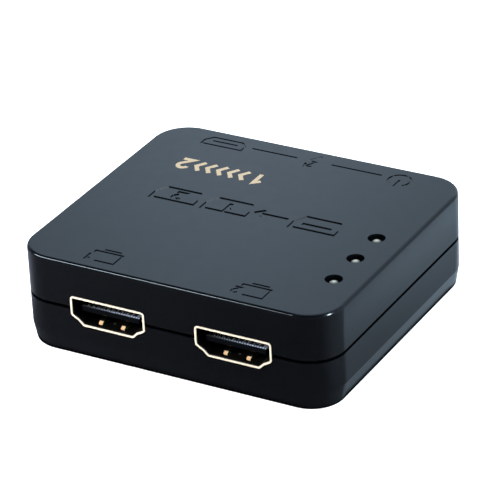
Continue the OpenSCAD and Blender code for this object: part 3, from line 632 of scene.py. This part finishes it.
def lamp_resin():
    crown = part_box("lamp_middle")[1].z
    finish = Finish("lamp_resin", Subsurface_Weight=0.2, Subsurface_Scale=0.3 * MM)
    finish.shader.inputs["Subsurface Radius"].default_value = (1, 1, 1)
    cloud = finish.noise(0.8 * MM, 3)
    milky = mixed_colour(finish.tree, cloud, (0.26, 0.235, 0.19, 1), (0.33, 0.30, 0.245, 1))
    height = finish.axis("Z")
    # Painted shade on the skirt and a painted highlight on the crown, by height on the dome.
    dome = ramped(finish.tree, height, crown - SKIRT_FROM, crown - SKIRT_TO, 0, 1)
    tip = ramped(finish.tree, height, crown - TIP_FROM, crown, 0, 1)
    tone = mixed_colour(finish.tree, dome, SKIRT_PAINTED_SHADE, milky)
    tone = mixed_colour(finish.tree, tip, tone, CROWN_PAINTED_HIGHLIGHT)
    return finish.base_colour(tone).roughness(cloud, 0.18, 0.26).material


finishes["lamp_white"] = lamp_resin()
print("finish:", finishes["lamp_white"].name)

# %% [markdown]
# ### Socket insulator
# The insulator of a socket is a dense black moulding. The ribs between its contacts catch the light on the
# nose of the tongue. They could be cut as solids, but at half a millimetre apart a pattern is enough: the
# finish paints them there as a pale comb at their real pitch, a painted highlight that fades towards one
# end as the light does.

# %% Socket insulator
VIDEO_SOCKETS = ("output_1", "output_2", "input")
TOOTH_PITCH = 0.5 * MM
TOOTH_FADE = (0.10 * MM, 0.15 * MM, 0, 1)
TOOTH_PAINTED_HIGHLIGHT = (0.40, 0.46, 0.60, 1)
COMB_LIGHT_FADE = (-6 * MM, 5 * MM, 0, 1)
NOSE_DEEP = 0.22 * MM
NOSE_SOFT = 0.05 * MM


def insulator_plastic(socket=None):
    """Black moulding, with the comb of painted highlight where it belongs to a video socket."""
    finish = Finish("insulator_" + (socket or "plain"), Specular_IOR_Level=0.02)
    tree = finish.tree
    grain = finish.noise(0.25 * MM, 3)
    tone = mixed_colour(tree, grain, (0.0012, 0.0014, 0.0020, 1), (0.0022, 0.0026, 0.0034, 1))
    if socket:
        low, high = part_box(socket + "_contacts")
        nose_z = high.z - NOSE_DEEP
        along = math_node(tree, "SUBTRACT", finish.axis("X"), (low.x + high.x) / 2)
        tooth = ramped(tree, math_node(tree, "PINGPONG", along, TOOTH_PITCH / 2), *TOOTH_FADE)
        nose = ramped(tree, finish.axis("Z"), nose_z, nose_z + NOSE_SOFT, 0, 1)
        # The comb is a painted highlight on the nose, fading along the row.
        comb = product(tree, tooth, nose, ramped(tree, along, *COMB_LIGHT_FADE))
        tone = mixed_colour(tree, comb, tone, TOOTH_PAINTED_HIGHLIGHT)
    return finish.base_colour(tone).roughness(grain, 0.3, 0.42).bump(grain, 0.006 * MM, 0.4).material


finishes["insulator_black"] = insulator_plastic()
socket_finishes = {socket + "_insulator": insulator_plastic(socket) for socket in VIDEO_SOCKETS}
print("finishes:", len(finishes), "and", len(socket_finishes), "for single sockets")

# %% [markdown]
# ### Socket shells
# A socket's sheet shell shows gold on the rim round the mouth and on a patch of each of the two spring
# fingers, where the crest catches the light. Deeper in, where little light gets, the sheet is painted dark
# as shade, with a faint lighter dot at the seam of the sheet. The shell could be split by faces, but the
# gold
# ends in the middle of a face. So one finish covers all of it, with a mask made from the place on the
# shell:
# how far behind the mouth a point lies, and how far from the middle of the socket.

# %% Socket shells
RIM_DEPTH = 0.12 * MM
RIM_SOFT = 0.05 * MM
FINGER_PLACE = 2.25 * MM
FINGER_HALF = 0.38 * MM
FINGER_NEAR = 1.0 * MM
FINGER_FAR = 1.7 * MM
FINGER_LIT_GOLD = (0.88, 0.58, 0.32, 1)
SEAM_HALF = 0.18 * MM
SEAM_NEAR = 2.1 * MM
SEAM_FAR = 2.5 * MM
SEAM_TONE = (0.20, 0.17, 0.14, 1)
LIGHTER = 1.08
ROUGH_SPAN = 0.08


def patch(tree, aside, half, depth, near, far):
    """1 within half a width to the side and between two depths, else 0."""
    return product(
        tree,
        math_node(tree, "LESS_THAN", aside, half),
        math_node(tree, "GREATER_THAN", depth, near),
        math_node(tree, "LESS_THAN", depth, far),
    )


def shell_plating(node, bright, dark, rough):
    """Bright plating on the rim and the fingers of one shell, painted shade on the sheet behind."""
    low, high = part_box(node)
    finish = Finish("plating_" + node, Metallic=1.0)
    tree = finish.tree
    mouth_y = low.y if low.y < 0 else high.y
    depth = gap(tree, finish.axis("Y"), mouth_y)
    aside = gap(tree, finish.axis("X"), (low.x + high.x) / 2)
    rim = ramped(tree, depth, RIM_DEPTH, RIM_DEPTH + RIM_SOFT, 1, 0)
    finger = patch(tree, gap(tree, aside, FINGER_PLACE), FINGER_HALF, depth, FINGER_NEAR, FINGER_FAR)
    seam = patch(tree, aside, SEAM_HALF, depth, SEAM_NEAR, SEAM_FAR)
    wander = finish.noise(0.4 * MM, 4)
    lighter = [min(1, part * LIGHTER) for part in bright]
    # The dark sheet behind the rim and the fingers is painted shade, and the finger patch is their gold
    # where the crest catches the light.
    tone = mixed_colour(tree, seam, (*dark, 1), SEAM_TONE)
    tone = mixed_colour(tree, finger, tone, FINGER_LIT_GOLD)
    tone = mixed_colour(tree, rim, tone, mixed_colour(tree, wander, (*bright, 1), (*lighter, 1)))
    finish.base_colour(tone).roughness(wander, rough, rough + ROUGH_SPAN)
    return finish.bump(wander, 0.004 * MM, 0.3).material


# The second colour in each call is painted shade for the inside of the shell.
for socket in VIDEO_SOCKETS:
    node = socket + "_shell"
    socket_finishes[node] = shell_plating(node, (1.0, 0.86, 0.71), (0.010, 0.009, 0.008), 0.58)
socket_finishes["power_inlet_shell"] = shell_plating(
    "power_inlet_shell", (0.70, 0.70, 0.71), (0.05, 0.05, 0.052), 0.24
)
print("socket finishes:", sorted(socket_finishes))

# %% [markdown]
# ### Dressing the pieces
# Each piece of the real box is made of one stuff, and the record names it. A list of pieces by hand would
# go stale, so the finishes are looked up there, and only the sockets' own ones come first.

# %% Dress the pieces
pieces = frame["record"]["subparts"]
for part in pieces:
    node = part["node"]
    finish = socket_finishes.get(node) or finishes[part["material_slot"]]
    for slot in nodes[node].material_slots:
        slot.material = finish
print("dressed", len(pieces), "pieces")

# %% [markdown]
# ## Marks in the top
# The top carries shallow moulded marks, which read from the rear. Each mark is a few strokes drawn in
# plain lines and arcs, given a width, and cut into a copy of the top cover. Cutting real grooves beats a
# bump map: their walls turn dark from every side, as the moulded ones do.

# %% Strokes
top_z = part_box("top_cover")[1].z


def arc(centre, radius, start, end, steps=18):
    """Points on an arc, with angles in degrees."""
    angles = [math.radians(start + (end - start) * k / steps) for k in range(steps + 1)]
    return [(centre[0] + radius * math.cos(a), centre[1] + radius * math.sin(a)) for a in angles]


def from_rear(points, centre, size=1.0):
    """Points drawn for a reader who stands behind the box, placed on the top."""
    return [(centre[0] - size * u, centre[1] - size * v) for u, v in points]


def side_step(points, k, closed):
    """The step from point k to the stroke's edge, mitred between its two neighbours."""
    count = len(points)
    here = Vector(points[k])
    runs = []
    if closed or k > 0:
        runs.append((here - Vector(points[k - 1])).normalized())
    if closed or k < count - 1:
        runs.append((Vector(points[(k + 1) % count]) - here).normalized())
    sides = [Vector((-run.y, run.x)) for run in runs]
    if len(sides) == 1:
        return sides[0]
    return (sides[0] + sides[1]) / (1 + sides[0].dot(sides[1]))


def add_stroke(shape, points, width, bottom, top, closed=False):
    """A ribbon along the points, as a closed solid. Points and width in millimetres, heights in metres."""
    rings = []
    for k, point in enumerate(points):
        step = side_step(points, k, closed) * width / 2
        left = Vector(point) + step
        right = Vector(point) - step
        rings.append([
            shape.verts.new((p.x * MM, p.y * MM, z))
            for p, z in ((left, bottom), (right, bottom), (right, top), (left, top))
        ])
    following = rings[1:] + rings[:1] if closed else rings[1:]
    for a, b in zip(rings, following):
        for k in range(4):
            shape.faces.new((a[k], a[(k + 1) % 4], b[(k + 1) % 4], b[k]))
    if not closed:
        shape.faces.new(reversed(rings[0]))
        shape.faces.new(rings[-1])


print("top face at", round(top_z / MM, 2), "mm")

# %% [markdown]
# ### Drawings
# Plain signs say what each side is for: two numbered screens over the outputs, a port, a bolt and a
# standby sign over the rear, and in the middle a port with an arrow to ports one and two. A font would
# bring its own file, and a few points per sign are enough. All places are in millimetres from the middle
# of the box.

# %% Drawings
ONE = [(-0.26, 0.24), (0.06, 0.5), (0.06, -0.5)]
TWO = [*arc((0, 0.21), 0.29, 165, -38), (-0.30, -0.5), (0.32, -0.5)]
PORT = [(-0.5, 0.5), (0.5, 0.5), (0.5, -0.02), (0.36, -0.5), (-0.36, -0.5), (-0.5, -0.02)]
SHAFT = [(-0.5, 0), (0.5, 0)]
HEAD = [(0.28, 0.2), (0.5, 0), (0.28, -0.2)]


def port(width, height, centre):
    """The outline of a port as a closed mark."""
    return from_rear([(u * width, v * height) for u, v in PORT], centre), True


def mark(points, centre, size=1.0):
    """An open stroke, drawn for the rear."""
    return from_rear(points, centre, size), False


def screen_marks(x, y, digit):
    """A screen on its foot, open at one corner where its number stands."""
    outline = [(1.2, 1.65), (-2.7, 1.65), (-2.7, -1.65), (2.7, -1.65), (2.7, -1.0)]
    foot = [(-2.0, -2.45), (1.4, -2.45)]
    return [mark(outline, (x, y)), mark(foot, (x, y)), mark(digit, (x - 3.0, y - 0.55), 2.0)]


fine_marks = [
    *screen_marks(-14.7, -23.65, ONE),
    *screen_marks(14.7, -23.65, TWO),
    port(8.4, 2.9, (-17.3, 23.8)),
    mark([(-2.6, 0), (2.6, 0)], (-17.3, 23.9)),
    ([(-11.6, 24.0), (-2.2, 24.0)], False),
    ([(1.9, 26.2), (0.3, 24.0), (1.8, 23.8), (0.5, 21.5)], False),
    ([(0.2, 22.9), (0.5, 21.5), (1.8, 22.0)], False),
    ([(4.9, 24.0), (15.2, 24.0)], False),
    (arc((19.0, 23.5), 2.1, -52, 232, 30), False),
    ([(19.0, 23.6), (19.0, 21.0)], False),
]
row_y = 1.9
input_place, arrow_place, one_place, two_place = [(x, row_y) for x in (13.7, 4.5, -4.1, -14.7)]
ARROW_LONG = 6.6
DIGIT_HIGH = 2.5
bold_marks = [
    port(9.0, 4.4, input_place),
    mark([(-2.9, 0.4), (2.9, 0.4)], input_place),
    mark(SHAFT, arrow_place, ARROW_LONG),
    mark(HEAD, arrow_place, ARROW_LONG),
    port(9.0, 4.4, one_place),
    mark(ONE, one_place, DIGIT_HIGH),
    port(9.0, 4.4, two_place),
    mark(TWO, two_place, DIGIT_HIGH),
]
print("marks:", len(fine_marks), "fine strokes and", len(bold_marks), "bold ones")

# %% [markdown]
# ## Top cover
# The cover is copied from the frame, its split corners are welded, and the strokes are cut out of it with
# exact booleans, which stay clean where strokes cross. Weighted normals keep the broad faces flat and the
# rounded edges smooth afterwards.

# %% Cutting helpers
WELD = 0.001 * MM
FLAT_ANGLE = math.radians(0.05)
SHARP_ANGLE = math.radians(30)
CUTTER_REACH = 1 * MM


def mesh_object(name, shape):
    """A new object from a bmesh, with its normals turned outwards."""
    bmesh.ops.recalc_face_normals(shape, faces=shape.faces)
    mesh = bpy.data.meshes.new(name)
    shape.to_mesh(mesh)
    shape.free()
    made = bpy.data.objects.new(name, mesh)
    scene.collection.objects.link(made)
    return made


def cutter(name, marks, width, depth):
    """All the strokes of one width as one solid that reaches above the top."""
    shape = bmesh.new()
    for points, closed in marks:
        add_stroke(shape, points, width, top_z - depth, top_z + CUTTER_REACH, closed)
    return mesh_object(name, shape)


def welded_copy(node, name):
    """The node's shape as a new closed mesh."""
    shape = bmesh.new()
    shape.from_mesh(nodes[node].data)
    bmesh.ops.remove_doubles(shape, verts=shape.verts, dist=WELD)
    bmesh.ops.dissolve_limit(shape, angle_limit=FLAT_ANGLE, verts=shape.verts, edges=shape.edges)
    return mesh_object(name, shape)


def carve(piece, tools):
    """Cuts the tools out of the piece and removes them."""
    for tool in tools:
        cut = piece.modifiers.new(tool.name, "BOOLEAN")
        cut.operation = "DIFFERENCE"
        cut.solver = "EXACT"
        cut.use_self = True
        cut.object = tool
    carved = bpy.data.meshes.new_from_object(piece.evaluated_get(bpy.context.evaluated_depsgraph_get()))
    piece.modifiers.clear()
    piece.data = carved
    for tool in tools:
        bpy.data.objects.remove(tool)


def shade(piece):
    """Smooth shading that breaks at sharp edges and keeps flat faces flat."""
    leftover = piece.data.attributes.get("custom_normal")
    if leftover:
        piece.data.attributes.remove(leftover)
    piece.data.shade_smooth()
    piece.data.set_sharp_from_angle(angle=SHARP_ANGLE)
    even = piece.modifiers.new("even_normals", "WEIGHTED_NORMAL")
    even.keep_sharp = True


print("cutting helpers ready")

# %% Top cover
FINE_WIDTH = 0.44
BOLD_WIDTH = 0.85
FINE_DEPTH = 0.16 * MM
BOLD_DEPTH = 0.18 * MM

marked_cover = welded_copy("top_cover", "marked_top_cover")
carve(marked_cover, [
    cutter("fine_marks", fine_marks, FINE_WIDTH, FINE_DEPTH),
    cutter("bold_marks", bold_marks, BOLD_WIDTH, BOLD_DEPTH),
])
shade(marked_cover)
marked_cover.data.materials.clear()
marked_cover.data.materials.append(finishes["case_black"])
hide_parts("top_cover")
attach(marked_cover, "case")
print("top cover:", len(marked_cover.data.polygons), "faces")

# %% [markdown]
# ### Reach of the left softbox
# The low softbox is there for the gold, and on the covers it would only leave a white blot. In a studio a
# small flag would shade them. Light linking does the same without a flag that other surfaces would
# mirror.

# %% Reach of the left softbox
unlit = bpy.data.collections.new("not_lit_by_left_softbox")
unlit.objects.link(marked_cover)
unlit.objects.link(nodes["bottom_cover"])
for member in unlit.collection_objects:
    member.light_linking.link_state = "EXCLUDE"
left_softbox.light_linking.receiver_collection = unlit

# %% [markdown]
# ## Gold print
# A hot-stamped line of plain signs in gold foil lies on the top: one, five arrows, two. It could be a
# mask in the cover's finish, but then the signs would be harder to move or leave out. Foil has hardly any
# thickness, so thin flat strokes do, and the foil's fine crinkle comes from noise.

# %% Gold print
PRINT_WIDTH = 0.82
PRINT_THICK = 0.02 * MM
PRINT_HIGH = 3.4
CHEVRON = [(-0.17, 0.5), (0.17, 0), (-0.17, -0.5)]
CHEVRON_PITCH = 2.3
ONE_ALONG = 7.8
TWO_ALONG = -7.6
print_x, print_y = -12.4, 13.6


def gold_foil():
    finish = Finish("gold_foil", Metallic=0.5)
    crinkle = finish.noise(0.25 * MM, 4)
    finish.colours(crinkle, (0.95, 0.64, 0.38), (1.0, 0.74, 0.48))
    return finish.roughness(crinkle, 0.3, 0.42).bump(crinkle, 0.006 * MM, 0.3).material


foil = bmesh.new()
signs = [(ONE, ONE_ALONG), (TWO, TWO_ALONG)] + [(CHEVRON, CHEVRON_PITCH * k) for k in range(-2, 3)]
for drawing, along in signs:
    placed = from_rear(drawing, (print_x + along, print_y), PRINT_HIGH)
    add_stroke(foil, placed, PRINT_WIDTH, top_z, top_z + PRINT_THICK)
gold_print = mesh_object("gold_print", foil)
gold_print.data.materials.append(gold_foil())
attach(gold_print, "case")
print("gold print:", len(signs), "signs")
